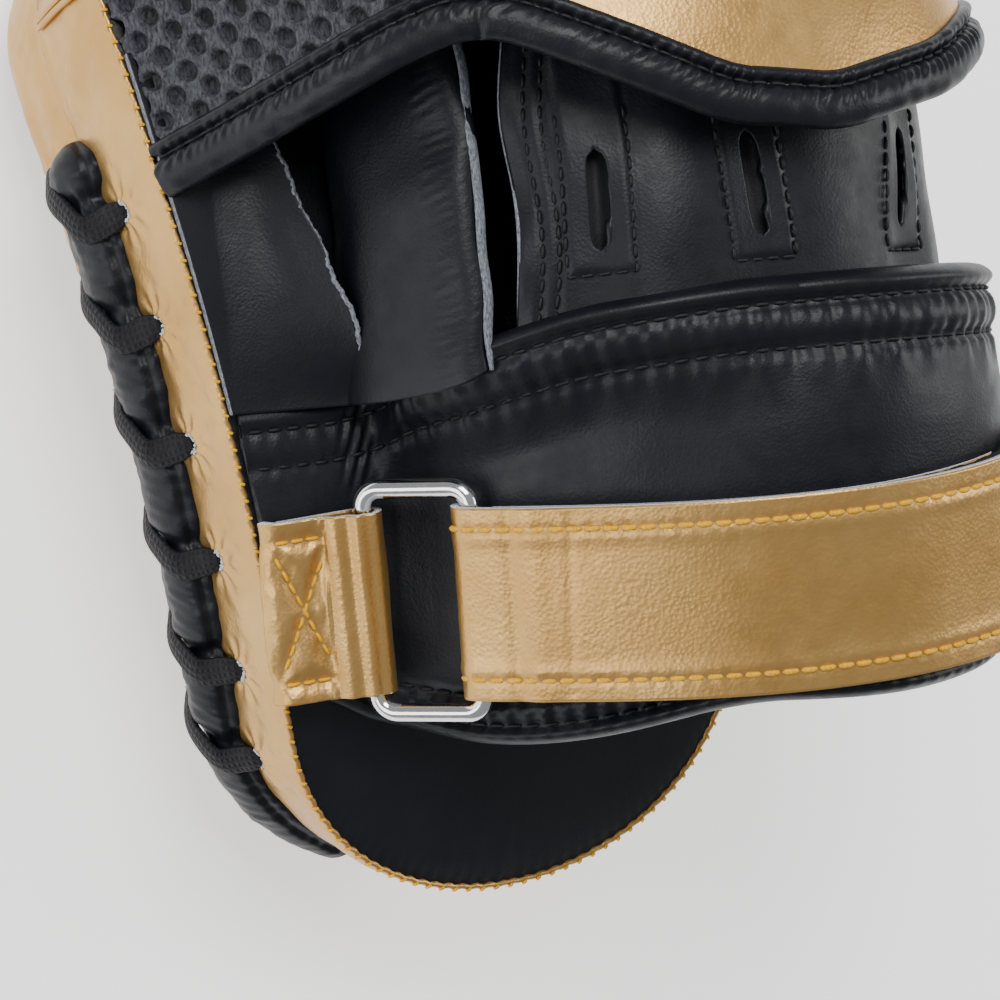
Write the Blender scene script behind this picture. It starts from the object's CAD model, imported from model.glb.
"""A right-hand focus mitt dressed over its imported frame: leather, mesh, lacing, strap and stitching.

Sizes are in millimetres, and meshes are made in metres. Most places are bent coordinates: x across the mitt,
s along the curved back of the pad (0 at mid-length, towards the fingertips) and h above that back.
"""

import logging
import math
from dataclasses import dataclass, field
from enum import Enum

import bmesh
import bpy
import numpy as np
from mathutils import Matrix, Vector


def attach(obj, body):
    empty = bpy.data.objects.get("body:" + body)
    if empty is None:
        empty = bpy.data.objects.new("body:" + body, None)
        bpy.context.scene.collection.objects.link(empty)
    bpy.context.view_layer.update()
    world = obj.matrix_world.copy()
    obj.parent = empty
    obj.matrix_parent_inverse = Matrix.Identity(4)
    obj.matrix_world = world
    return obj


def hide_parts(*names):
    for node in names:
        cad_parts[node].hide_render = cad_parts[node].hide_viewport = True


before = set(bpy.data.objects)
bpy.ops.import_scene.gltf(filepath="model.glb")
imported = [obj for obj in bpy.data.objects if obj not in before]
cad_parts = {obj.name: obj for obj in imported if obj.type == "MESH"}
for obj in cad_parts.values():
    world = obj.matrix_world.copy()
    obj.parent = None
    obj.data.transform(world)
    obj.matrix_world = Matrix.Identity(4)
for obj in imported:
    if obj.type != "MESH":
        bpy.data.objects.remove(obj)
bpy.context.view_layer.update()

LOG = logging.getLogger("focus_mitt")
MM = 0.001
Array = np.ndarray
# A direction that no tube runs along, which sets how its section is turned.
TUBE_UP = np.array([0.31, 0.17, 0.93])


# ---------------------------------------------------------------- the bent frame

@dataclass(frozen=True)
class Bend:
    """The pad's curved back, from which every place is measured."""

    back_radius: float = 330.0
    pad_x: float = -5.41
    axis_z: float = -261.98

    def place(self, x: Array, s: Array, h: Array) -> Array:
        """Turns bent coordinates into points: h runs outwards from the bending axis, s round it.

        Args:
            x, s, h: bent coordinates that broadcast together.

        Returns:
            Points with a last axis of three, in millimetres.
        """
        x, s, h = np.broadcast_arrays(np.asarray(x, float), np.asarray(s, float), np.asarray(h, float))
        reach = self.back_radius + h
        angle = s / self.back_radius
        return np.stack([x + self.pad_x, reach * np.sin(angle), self.axis_z + reach * np.cos(angle)], -1)


BEND = Bend()


def run_of(line: Array) -> Array:
    """Distance along a line of points, at each of them."""
    return np.concatenate([[0], np.cumsum(np.linalg.norm(np.diff(line, axis=0), axis=1))])


def unit(vectors: Array) -> Array:
    """Vectors made one long."""
    return vectors / np.linalg.norm(vectors, axis=-1, keepdims=True)


def headings(line: Array) -> Array:
    """Unit directions along a line of points."""
    return unit(np.gradient(line, axis=0))


def outward_of(line: Array) -> Array:
    """Unit normals on the left of a flat line, which is the outside of an arch from the thumb side."""
    heading = headings(line)
    return np.stack([-heading[:, 1], heading[:, 0]], -1)


def bell(away: Array, width: float) -> Array:
    """A bell curve: 1 at no distance, falling as the exponential of the distance squared."""
    return np.exp(-(away / width) ** 2)


def sigmoid(value: Array) -> Array:
    """A smooth step from 0 up to 1 round 0."""
    return 1 / (1 + np.exp(np.clip(-value, -30, 30)))


def ease(share: Array) -> Array:
    """A smooth rise from 0 to 1, level at both ends, of a share between 0 and 1."""
    return share * share * (3 - 2 * share)


@dataclass(frozen=True)
class Outline:
    """The pad's outline: the hull of four circles on a flat sheet that touches the back at mid-length."""

    length: float = 262.0
    heel_radius: float = 57.0
    corner_radius: float = 50.0
    corner_x: float = 34.0
    corner_drop: float = 6.0
    crown_radius: float = 80.0

    def points(self, count: int, offset: float = 0.0) -> tuple[Array, Array, Array]:
        """Points spaced evenly round the outline, from the heel and clockwise up the thumb side.

        The hull's support in each direction is the greatest of the circles' supports.

        Args:
            count: number of points.
            offset: how far outwards to move them.

        Returns:
            The points' x, their s, and their outward directions on the sheet.
        """
        half = self.length / 2
        corner_y = half - self.corner_drop - self.corner_radius
        centres = np.array([(0, -half + self.heel_radius), (-self.corner_x, corner_y), (self.corner_x, corner_y),
                            (0, half - self.crown_radius)])
        radii = np.array([self.heel_radius, self.corner_radius, self.corner_radius, self.crown_radius])
        angles = -np.pi / 2 - np.linspace(0, 2 * np.pi, 4001)
        normals = np.stack([np.cos(angles), np.sin(angles)], -1)
        best = (normals @ centres.T + radii).argmax(1)
        dense = centres[best] + (radii[best] + offset)[:, None] * normals
        run = run_of(dense)
        wanted = np.linspace(0, run[-1], count, endpoint=False)
        x = np.interp(wanted, run, dense[:, 0])
        y = np.interp(wanted, run, dense[:, 1])
        tangent = np.stack([np.gradient(x), np.gradient(y)], -1)
        tangent[[0, -1]] = tangent[[1, -2]]
        tangent = unit(tangent)
        outward = np.stack([-tangent[:, 1], tangent[:, 0]], -1)
        return x, BEND.back_radius * np.arctan(y / BEND.back_radius), outward


OUTLINE = Outline()


def spline(points: Array, places: Array) -> Array:
    """Reads a natural cubic spline through points, by chord length.

    Args:
        points: knots, one a row.
        places: where to read it, 0 at the first knot and 1 at the last, by chord length.

    Returns:
        One row for each place.
    """
    knots = np.asarray(points, float)
    chord = run_of(knots)
    chord /= chord[-1]
    count = len(knots)
    step = np.diff(chord)
    system = np.zeros((count, count))
    right = np.zeros_like(knots)
    system[0, 0] = system[-1, -1] = 1.0
    rows = np.arange(1, count - 1)
    system[rows, rows - 1] = step[:-1]
    system[rows, rows] = 2 * (step[:-1] + step[1:])
    system[rows, rows + 1] = step[1:]
    slope = np.diff(knots, axis=0) / step[:, None]
    right[rows] = 6 * (slope[1:] - slope[:-1])
    curve = np.linalg.solve(system, right)
    places = np.clip(np.asarray(places, float), 0, 1)
    span = np.clip(np.searchsorted(chord, places, side="right") - 1, 0, count - 2)
    t = (places - chord[span])[:, None]
    width = step[span][:, None]
    return (knots[span] + t * (slope[span] - width * (2 * curve[span] + curve[span + 1]) / 6)
            + t ** 2 * curve[span] / 2 + t ** 3 * (curve[span + 1] - curve[span]) / (6 * width))


def even(line: Array, count: int) -> Array:
    """Respaces a dense line of points evenly along its length."""
    run = run_of(line)
    wanted = np.linspace(0, run[-1], count)
    return np.stack([np.interp(wanted, run, line[:, k]) for k in range(line.shape[1])], -1)


def smooth_noise(shape: tuple[int, int], cells: tuple[float, float], seed: int) -> Array:
    """Soft noise between -1 and 1 on a grid: a sum of sine waves with drawn headings and phases.

    Args:
        shape: rows and columns.
        cells: how many waves fit along each way.
        seed: which draw.

    Returns:
        The grid of values.
    """
    rng = np.random.default_rng(seed)
    u, v = np.meshgrid(np.linspace(0, 1, shape[0]), np.linspace(0, 1, shape[1]), indexing="ij")
    total = np.zeros(shape)
    for _ in range(12):
        a, b = rng.uniform(-1, 1, 2) * cells
        total += np.sin(2 * np.pi * (a * u + b * v) + rng.uniform(0, 2 * np.pi))
    return total / 4.0


# ---------------------------------------------------------------- meshes

def mesh_object(name: str, vertices: Array, faces: Array, uv: Array | None = None) -> bpy.types.Object:
    """Makes an object from arrays of quads.

    Args:
        name: the piece's name.
        vertices: points in millimetres.
        faces: rows of four vertex numbers.
        uv: one (u, v) for each vertex, in millimetres, or None.

    Returns:
        The new object, linked to the scene.
    """
    mesh = bpy.data.meshes.new(name)
    count = len(faces)
    mesh.vertices.add(len(vertices))
    mesh.vertices.foreach_set("co", (np.asarray(vertices, np.float32) * MM).ravel())
    mesh.loops.add(4 * count)
    mesh.loops.foreach_set("vertex_index", np.asarray(faces, np.int32).ravel())
    mesh.polygons.add(count)
    mesh.polygons.foreach_set("loop_start", np.arange(count, dtype=np.int32) * 4)
    mesh.polygons.foreach_set("use_smooth", np.full(count, True))
    if uv is not None:
        layer = mesh.uv_layers.new(name="UVMap")
        layer.data.foreach_set("uv", (np.asarray(uv, np.float32) * MM)[np.asarray(faces).ravel()].ravel())
    mesh.update(calc_edges=True)
    mesh.validate()
    piece = bpy.data.objects.new(name, mesh)
    bpy.context.scene.collection.objects.link(piece)
    return piece


def grid_faces(rows: int, columns: int, wrap_rows: bool = False, wrap_columns: bool = False) -> Array:
    """Quads of a grid of rows by columns, joined round on itself where asked."""
    i = np.arange(rows if wrap_rows else rows - 1)
    j = np.arange(columns if wrap_columns else columns - 1)
    a, b = np.meshgrid(i, j, indexing="ij")
    a, b = a.ravel(), b.ravel()
    c, d = (a + 1) % rows, (b + 1) % columns
    return np.stack([a * columns + b, c * columns + b, c * columns + d, a * columns + d], -1)


def grid_uv(points: Array) -> Array:
    """Lays a grid out flat: each point's distance along its row and column, averaged over the grid."""
    down = np.concatenate([[0], np.cumsum(np.linalg.norm(np.diff(points, axis=0), axis=2).mean(1))])
    along = np.concatenate([[0], np.cumsum(np.linalg.norm(np.diff(points, axis=1), axis=2).mean(0))])
    u, v = np.meshgrid(down, along, indexing="ij")
    return np.stack([u.ravel(), v.ravel()], -1)


def surface(name: str, points: Array, wrap_rows: bool = False, wrap_columns: bool = False,
            flip: bool = False) -> bpy.types.Object:
    """Makes an object from a grid of points.

    Args:
        name: the piece's name.
        points: rows by columns by three, in millimetres.
        wrap_rows, wrap_columns: whether the grid closes on itself that way.
        flip: True to turn the faces over.

    Returns:
        The new object, with a UV map in real size.
    """
    faces = grid_faces(points.shape[0], points.shape[1], wrap_rows, wrap_columns)
    if flip:
        faces = faces[:, ::-1]
    return mesh_object(name, points.reshape(-1, 3), faces, grid_uv(points))


def capped(grid: Array) -> Array:
    """Closes both ends of a grid of points: one more row at each, all at the middle of the end row."""
    middle = lambda row: np.broadcast_to(row.mean(1, keepdims=True), row.shape)
    return np.concatenate([middle(grid[:1]), grid, middle(grid[-1:])], 0)


def recalculated(piece: bpy.types.Object) -> bpy.types.Object:
    """Turns a closed piece's faces outwards."""
    work = bmesh.new()
    work.from_mesh(piece.data)
    bmesh.ops.remove_doubles(work, verts=work.verts, dist=1e-6)
    bmesh.ops.recalc_face_normals(work, faces=work.faces)
    work.to_mesh(piece.data)
    work.free()
    return piece


def thicken(piece: bpy.types.Object, thickness: float, offset: float = 0.0, rim: bool = True) -> bpy.types.Object:
    """Gives a sheet its thickness with Solidify; its cut edges take the piece's second material.

    Args:
        piece: an open surface.
        thickness: in millimetres.
        offset: -1 grows it inwards, 1 outwards.
        rim: whether the cut edges take the second material.

    Returns:
        The same piece.
    """
    wall = piece.modifiers.new("thickness", "SOLIDIFY")
    wall.thickness = thickness * MM
    wall.offset = offset
    wall.use_even_offset = True
    if rim:
        wall.material_offset_rim = 1
    return piece


def tube(line: Array, radius: Array, sides: int = 10, flatten: float = 1.0) -> Array:
    """A tube's grid of points round a line, with closed ends.

    Args:
        line: points along the middle.
        radius: one radius, or one for each point.
        sides: number of points round it.
        flatten: height of the section over its width.

    Returns:
        Points, rows along the line and columns round it.
    """
    tangent = headings(line)
    side = unit(np.cross(tangent, TUBE_UP))
    height = np.cross(side, tangent)
    radius = np.broadcast_to(np.asarray(radius, float), (len(line),))
    angle = np.linspace(0, 2 * np.pi, sides, endpoint=False)
    ring = np.cos(angle)[None, :, None] * side[:, None] + flatten * np.sin(angle)[None, :, None] * height[:, None]
    grid = line[:, None] + radius[:, None, None] * ring
    return np.concatenate([np.broadcast_to(line[:1, None], (1, sides, 3)), grid,
                           np.broadcast_to(line[-1:, None], (1, sides, 3))], 0)


def tubes(name: str, lines: list[Array], radius: float, sides: int = 6,
          flatten: float = 1.0) -> bpy.types.Object:
    """Many short tubes of one thickness, as one piece."""
    vertices, faces, start = [], [], 0
    for line in lines:
        ends = np.minimum(np.linspace(0, 1, len(line)), np.linspace(1, 0, len(line)))
        taper = radius * np.clip(ends * 5 + 0.45, 0, 1)
        grid = tube(line, taper, sides, flatten)
        vertices.append(grid.reshape(-1, 3))
        faces.append(grid_faces(grid.shape[0], sides, wrap_columns=True) + start)
        start += grid.shape[0] * sides
    return mesh_object(name, np.concatenate(vertices), np.concatenate(faces))


def stitches(name: str, seams: list[tuple[Array, Array]], pitch: float, radius: float, gap: float = 0.22,
             rise: float = 0.25) -> bpy.types.Object:
    """Rows of lockstitches: each a short thread that dips into the leather at both ends.

    Args:
        name: the piece's name.
        seams: for each row, its points and the outward normals there.
        pitch: length of one stitch and its gap.
        radius: of the thread.
        gap: part of the pitch left bare.
        rise: how far the thread's middle stands over the leather.

    Returns:
        One piece with every stitch of the rows.
    """
    lines = []
    for line, normal in seams:
        run = run_of(line)
        total = max(int(run[-1] / pitch), 1)
        step = run[-1] / total
        for index in range(total):
            reach = (index + np.linspace(gap / 2, 1 - gap / 2, 7)) * step
            middle = np.stack([np.interp(reach, run, line[:, k]) for k in range(3)], -1)
            out = np.stack([np.interp(reach, run, normal[:, k]) for k in range(3)], -1)
            lift = rise * np.sin(np.linspace(0, np.pi, 7)) - radius * 0.5
            lines.append(middle + out * lift[:, None])
    return tubes(name, lines, radius)


# ---------------------------------------------------------------- finishes

class Shade:
    """Builds one node material round a Principled shader, on Object coordinates."""

    def __init__(self, name: str) -> None:
        """Starts an empty material.

        Args:
            name: the material's name.
        """
        self.material = bpy.data.materials.new(name)
        self.material.use_nodes = True
        self.tree = self.material.node_tree
        self.shader = self.tree.nodes["Principled BSDF"]
        self.place = self.tree.nodes.new("ShaderNodeTexCoord").outputs["Object"]
        self.uv = self.tree.nodes.new("ShaderNodeUVMap").outputs["UV"]

    def node(self, kind: str, **inputs: object) -> bpy.types.Node:
        """Adds a node and sets or links its inputs by name."""
        made = self.tree.nodes.new(kind)
        for key, value in inputs.items():
            socket = made.inputs[key.replace("_", " ")]
            if isinstance(value, bpy.types.NodeSocket):
                self.tree.links.new(value, socket)
            else:
                socket.default_value = value
        return made

    def noise(self, scale: float, detail: float = 3.0, vector: object = None, rough: float = 0.55) -> object:
        """Noise of so many waves a metre."""
        return self.node("ShaderNodeTexNoise", Vector=vector or self.place, Scale=scale, Detail=detail,
                         Roughness=rough).outputs["Fac"]

    def cells(self, scale: float, feature: str = "F1", vector: object = None) -> object:
        """Distance to the nearest of scattered points, so many a metre."""
        made = self.node("ShaderNodeTexVoronoi", Vector=vector or self.place, Scale=scale)
        made.feature = feature
        return made.outputs["Distance"]

    def stretched(self, factors: tuple[float, float, float], vector: object = None) -> object:
        """Coordinates scaled by a factor on each axis."""
        return self.node("ShaderNodeMapping", Vector=vector or self.place, Scale=factors).outputs["Vector"]

    def remap(self, value: object, low: float, high: float, to_low: float, to_high: float) -> object:
        """Maps one range of numbers on to another, clamped."""
        made = self.node("ShaderNodeMapRange", Value=value)
        for key, number in zip(("From Min", "From Max", "To Min", "To Max"), (low, high, to_low, to_high)):
            made.inputs[key].default_value = number
        return made.outputs["Result"]

    def blend(self, factor: object, low: tuple, high: tuple) -> object:
        """Mixes two colours by a factor."""
        made = self.node("ShaderNodeMix")
        made.data_type = "RGBA"
        self.tree.links.new(factor, made.inputs[0])
        made.inputs[6].default_value = (*low, 1)
        made.inputs[7].default_value = (*high, 1)
        return made.outputs[2]

    def relief(self, height: object, distance: float, strength: float = 1.0) -> None:
        """Adds a bump of so many millimetres over those already there."""
        made = self.node("ShaderNodeBump", Height=height, Distance=distance * MM, Strength=strength)
        before = self.shader.inputs["Normal"].links
        if before:
            self.tree.links.new(before[0].from_socket, made.inputs["Normal"])
        self.tree.links.new(made.outputs["Normal"], self.shader.inputs["Normal"])

    def put(self, **inputs: object) -> "Shade":
        """Sets or links inputs of the shader, named with _ for a space."""
        for key, value in inputs.items():
            socket = self.shader.inputs[key.replace("_", " ")]
            if isinstance(value, bpy.types.NodeSocket):
                self.tree.links.new(value, socket)
            else:
                socket.default_value = value
        return self


@dataclass(frozen=True)
class Leather:
    """Coated leather: its colour, how metallic it is, and the size and depth of its grain."""

    name: str
    colour: tuple[float, float, float]
    worn: tuple[float, float, float]
    metallic: float
    roughness: float
    grain: float
    grain_depth: float
    crease_depth: float

    def make(self) -> bpy.types.Material:
        """Makes the material: scattered cells for pebbles, stretched noise for creases, broad noise for tone.

        Returns:
            The material.
        """
        shade = Shade(self.name)
        tone = shade.noise(28, 4)
        shade.put(Base_Color=shade.blend(shade.remap(tone, 0.35, 0.7, 0, 1), self.colour, self.worn),
                  Roughness=shade.remap(shade.noise(190, 5), 0.3, 0.75,
                                        self.roughness - 0.06, self.roughness + 0.09),
                  Metallic=self.metallic)
        shade.shader.inputs["Specular IOR Level"].default_value = 0.27
        shade.relief(shade.cells(self.grain), self.grain_depth)
        shade.relief(shade.noise(420, 6, shade.stretched((1, 0.45, 1))), self.crease_depth)
        shade.relief(shade.noise(75, 3), self.crease_depth * 2.2, 0.8)
        return shade.material


@dataclass(frozen=True)
class Fibre:
    """Matt fibrous stuff: raw backing, thread, lace or fuzz."""

    name: str
    colour: tuple[float, float, float]
    dark: tuple[float, float, float]
    roughness: float = 0.85
    strands: float = 2600.0
    depth: float = 0.25
    gloss: float = 0.3

    def make(self) -> bpy.types.Material:
        """Makes the material: tone and relief from fine stretched noise.

        Returns:
            The material.
        """
        shade = Shade(self.name)
        strand = shade.noise(self.strands, 4, shade.stretched((1, 0.35, 1)), 0.7)
        shade.put(Base_Color=shade.blend(shade.remap(strand, 0.35, 0.65, 0, 1), self.dark, self.colour),
                  Roughness=shade.remap(strand, 0.3, 0.7, self.roughness, min(self.roughness + 0.1, 1)))
        shade.shader.inputs["Specular IOR Level"].default_value = self.gloss
        shade.relief(strand, self.depth)
        return shade.material


@dataclass(frozen=True)
class Weave:
    """Woven band on its own UV map: ribs across it and yarns along it."""

    name: str
    colour: tuple[float, float, float]
    pitch: float = 0.7
    roughness: float = 0.5

    def make(self) -> bpy.types.Material:
        """Makes the material: the height is the greater of two sets of waves, a yarn apart each way.

        Returns:
            The material.
        """
        shade = Shade(self.name)
        ribs = shade.node("ShaderNodeTexWave", Vector=shade.uv, Scale=1000 / self.pitch / 6.28, Distortion=1.5)
        ribs.inputs["Detail Scale"].default_value = 4.0
        yarns = shade.node("ShaderNodeTexWave", Vector=shade.uv, Scale=1000 / self.pitch / 6.28, Distortion=0.8)
        yarns.bands_direction = "Y"
        both = shade.node("ShaderNodeMath")
        both.operation = "MAXIMUM"
        shade.tree.links.new(ribs.outputs["Fac"], both.inputs[0])
        shade.tree.links.new(yarns.outputs["Fac"], both.inputs[1])
        height = both.outputs[0]
        bright = tuple(c * 1.6 for c in self.colour)
        shade.put(Base_Color=shade.blend(height, self.colour, bright),
                  Roughness=shade.remap(shade.noise(900), 0.3, 0.7, self.roughness, self.roughness + 0.2))
        shade.shader.inputs["Specular IOR Level"].default_value = 0.2
        shade.relief(height, 0.22)
        shade.relief(shade.noise(3000), 0.08)
        return shade.material


def plated_wire(name: str) -> bpy.types.Material:
    """Polished plated wire, with faint rubbing marks."""
    shade = Shade(name)
    shade.put(Base_Color=shade.blend(shade.noise(60), (0.72, 0.72, 0.73), (0.86, 0.86, 0.87)), Metallic=1.0,
              Roughness=shade.remap(shade.noise(700, 4), 0.35, 0.7, 0.07, 0.2))
    shade.relief(shade.noise(900, 2), 0.01)
    return shade.material


class Finish(Enum):
    """Every finish on the mitt, each made once."""

    BLACK = Leather("black_leather", (0.0042, 0.005, 0.0085), (0.0075, 0.0085, 0.0125), 0.0, 0.41, 1500,
                    0.035, 0.045)
    LINING = Leather("lining_leather", (0.009, 0.009, 0.012), (0.014, 0.014, 0.018), 0.0, 0.55, 1700,
                     0.03, 0.05)
    GOLD = Leather("gold_leather", (0.50, 0.285, 0.085), (0.60, 0.37, 0.13), 0.78, 0.36, 1150, 0.055, 0.04)
    RAW_WHITE = Fibre("raw_white_edge", (0.82, 0.83, 0.86), (0.45, 0.47, 0.52))
    RAW_GREY = Fibre("raw_grey_edge", (0.30, 0.32, 0.37), (0.07, 0.075, 0.09))
    BLACK_THREAD = Fibre("black_thread", (0.013, 0.013, 0.016), (0.004, 0.004, 0.005), 0.5, 2200, 0.1, 0.3)
    GOLD_THREAD = Fibre("gold_thread", (0.85, 0.47, 0.006), (0.6, 0.28, 0.003), 0.45, 2200, 0.1, 0.5)
    FUZZ = Fibre("hook_and_loop", (0.03, 0.03, 0.034), (0.006, 0.006, 0.008), 0.95, 1600, 0.6)
    FOAM = Fibre("foam", (0.06, 0.06, 0.065), (0.03, 0.03, 0.033), 0.9, 1400, 0.2)
    BOARD = Fibre("board", (0.09, 0.09, 0.09), (0.05, 0.05, 0.05), 0.7, 500, 0.1)
    YARN = Fibre("mesh_yarn", (0.085, 0.09, 0.105), (0.008, 0.008, 0.011), 0.7, 1500, 0.45, 0.35)
    BACKING = Fibre("mesh_backing", (0.006, 0.006, 0.009), (0.002, 0.002, 0.003), 0.95, 900, 0.2, 0.1)
    LACE = Weave("woven_lace", (0.005, 0.005, 0.0065))
    WIRE = "plated_wire"

    def material(self) -> bpy.types.Material:
        """The finish's material, made at its first use."""
        name = self.value if isinstance(self.value, str) else self.value.name
        found = bpy.data.materials.get(name + "_finish")
        if found is None:
            found = plated_wire(name) if isinstance(self.value, str) else self.value.make()
            found.name = name + "_finish"
        return found


BUILT: list[str] = []


def dress(piece: bpy.types.Object, finishes: list[Finish], body: str | None = "mitt",
          nodes: tuple[str, ...] = ()) -> bpy.types.Object:
    """Gives a piece its finishes, its body, and the CAD nodes it stands for.

    Args:
        piece: the piece.
        finishes: one for each material number.
        body: the CAD body it moves with, or None where it bends between two.
        nodes: CAD nodes that it replaces.

    Returns:
        The same piece.
    """
    piece.data.materials.clear()
    for finish in finishes:
        piece.data.materials.append(finish.material())
    if body:
        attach(piece, body)
    if nodes:
        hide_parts(*nodes)
    BUILT.append(piece.name)
    LOG.info("built %s: %d faces", piece.name, len(piece.data.polygons))
    return piece


def keep(node: str, finish: Finish) -> None:
    """Leaves a CAD node showing, with a finish in place of its plain colour."""
    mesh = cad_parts[node].data
    mesh.materials.clear()
    mesh.materials.append(finish.material())


# ---------------------------------------------------------------- the pad's wall and back

def wall_place(run: Array, out: Array, h: Array) -> Array:
    """Points on the pad's side, by distance round the outline, distance outwards from it, and height.

    Args:
        run: distance round the outline from the heel, clockwise up the thumb side.
        out: distance outwards from the outline.
        h: height above the back.

    Returns:
        Points with a last axis of three.
    """
    x, s, outward = Pad.RING
    count = len(x)
    turn = np.mod(np.asarray(run, float), Pad.ROUND) / Pad.ROUND * count
    low = np.floor(turn).astype(int) % count
    high, part = (low + 1) % count, turn - np.floor(turn)
    mix = lambda values: values[low] * (1 - part) + values[high] * part
    return BEND.place(mix(x) + out * mix(outward[:, 0]), mix(s) + out * mix(outward[:, 1]), h)


@dataclass
class Pad:
    """The pad's side wall in two strips, the back panel and the strike face's finishes."""

    RING = OUTLINE.points(2800)
    ROUND = 708.1

    seam_pitch: float = 3.6
    rear_holes: tuple[float, ...] = (196.4, 170.9, 144.5, 118.0, 91.6, 69.0)
    front_holes: tuple[float, ...] = (210.6, 184.6, 157.2, 128.9, 101.5, 79.0)
    rear_hole_h: float = -15.0
    front_hole_h: float = -41.0
    rear_profile: tuple[tuple[float, float], ...] = (
        (-1.5, -1.6), (-0.9, -0.45), (-0.35, 0.0), (0.1, -0.2), (0.4, -1.0), (0.6, -3), (1.1, -9),
        (1.3, -15), (0.9, -22), (0.2, -27), (-0.6, -28.6), (-1.4, -29.3))
    front_profile: tuple[tuple[float, float], ...] = (
        (-1.4, -28.8), (-0.4, -29.4), (0.3, -31), (0.8, -36), (0.7, -41), (0.5, -44.3), (-0.5, -47.2),
        (-2.6, -49.5), (-5.4, -50.5))

    def runs(self) -> Array:
        """Places round the outline: fine on the laced side and coarser on the rest."""
        return np.concatenate([np.arange(0, 40, 1.0), np.arange(40, 250, 0.5),
                               np.arange(250, self.ROUND - 0.5, 1.1)])

    def relief(self, run: Array, h: Array, holes: tuple[float, ...], hole_h: float) -> Array:
        """How far the wall's leather stands out of its plain profile.

        Soft swells lie along the wall. The seam pulls it in at each stitch. Every lace hole is a pit with a
        raised lip, and ridges fan out of it as the cosine of the angle round it.

        Args:
            run, h: grids of places on the wall.
            holes, hole_h: where the lace goes through.

        Returns:
            The grid of distances outwards.
        """
        swell = 0.16 * smooth_noise(run.shape, (26, 3), 5) + 0.07 * smooth_noise(run.shape, (90, 5), 6)
        pull = -0.3 * (0.5 + 0.5 * np.cos(2 * np.pi * run / self.seam_pitch)) * bell(h + 0.5, 2.4)
        total = swell * np.clip(-h / 4, 0.1, 1) + pull
        for hole in holes:
            along, up = run - hole, h - hole_h
            reach = np.hypot(along, up)
            bearing = np.arctan2(up, along)
            total += 0.5 * bell(reach - 2.6, 0.9) - 3.4 * np.exp(-(reach / 1.55) ** 4)
            total += 0.22 * np.cos(9 * bearing + hole) * bell(reach - 5, 3.2)
            total -= 0.9 * np.exp(-(along / 2.6) ** 2 - ((up - np.sign(hole_h + 29) * -5) / 4) ** 2)
        return total

    def strip(self, name: str, knots: tuple[tuple[float, float], ...], rows: int, holes: tuple[float, ...],
              hole_h: float, node: str) -> None:
        """Makes one strip of the wall: its profile carried round the outline, then its relief."""
        line = even(spline(np.array(knots), np.linspace(0, 1, 300)), rows)
        run, _ = np.meshgrid(self.runs(), line[:, 0], indexing="ij")
        out, h = np.broadcast_to(line[:, 0], run.shape), np.broadcast_to(line[:, 1], run.shape)
        joined = bell(h + 29, 2.2) * sigmoid((run - 221) / 2)
        out = out * (1 - joined) + 0.45 * joined
        grid = wall_place(run, out + self.relief(run, h, holes, hole_h), h)
        piece = surface(name, grid, wrap_rows=True)
        dress(thicken(piece, 1.2, -1), [Finish.GOLD, Finish.RAW_WHITE], nodes=(node,))

    def back(self) -> None:
        """Makes the back panel: rings that shrink towards the middle, pillowed a little and dimpled at the seam."""
        share = np.concatenate([[0.0], np.linspace(0.008, 0.06, 10), np.linspace(0.09, 0.999, 46)])
        x, s, outward = OUTLINE.points(720)
        keep_in = 1 - share[:, None]
        edge = 0.35
        xs = (x - edge * outward[:, 0])[None] * keep_in
        ss = (s - edge * outward[:, 1])[None] * keep_in
        run = np.linspace(0, self.ROUND, 720, endpoint=False)[None]
        sink = np.exp(-share[:, None] / 0.02)
        h = 0.9 * (1 - keep_in ** 6) - 0.9 * sink - 0.25 * sink * np.cos(2 * np.pi * run / self.seam_pitch)
        h = h + 0.15 * smooth_noise(h.shape, (2, 7), 11) * (1 - sink)
        piece = surface("back_leather", BEND.place(xs, ss, h), wrap_columns=True)
        dress(thicken(piece, 1.2, -1, rim=False), [Finish.BLACK], nodes=("back_panel",))

    def seams(self) -> None:
        """Makes the overcast thread over the rear edge, and the seams across the wall beyond the lacing."""
        count = int(self.ROUND / self.seam_pitch)
        lines = []
        for run in (np.arange(count) + 0.5) * self.ROUND / count:
            t = np.linspace(0, 1, 7)
            over = 0.05 + 0.5 * np.sin(np.pi * (0.1 + 0.8 * t)) - 0.7 * t
            lines.append(wall_place(run + 0.6 * t, -0.75 + 1.2 * t, over))
        dress(tubes("edge_overcasting", lines, 0.36), [Finish.GOLD_THREAD])
        t = np.linspace(0, 1, 60)
        welts = []
        for run in (244.5, 488.0):
            for shift in (-0.9, 0.9):
                welts.append(wall_place(run + shift + 0 * t, 1.0 + 0.9 * np.sin(np.pi * t), -1.5 - 26.5 * t))
        dress(tubes("wall_joins", welts, 0.75, 8), [Finish.GOLD])

    def tears(self) -> None:
        """Makes the white torn fringe round each lace hole: short fibres that lean out of the pit."""
        rng = np.random.default_rng(3)
        lines = []
        t = np.linspace(0, 1, 5)
        for holes, h in ((self.rear_holes, self.rear_hole_h), (self.front_holes, self.front_hole_h)):
            for hole in holes:
                for angle in rng.uniform(0, 2 * np.pi, 26):
                    long = rng.uniform(0.5, 1.5)
                    reach = 1.35 + long * t
                    lean = angle + rng.uniform(-0.5, 0.5) * t
                    out = 0.55 + 1.0 * np.sin(np.pi * t * 0.7) + rng.uniform(0, 0.3)
                    lines.append(wall_place(hole + reach * np.cos(lean), out, h + reach * np.sin(lean)))
        dress(tubes("torn_holes", lines, 0.28, 5), [Finish.RAW_WHITE])

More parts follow.
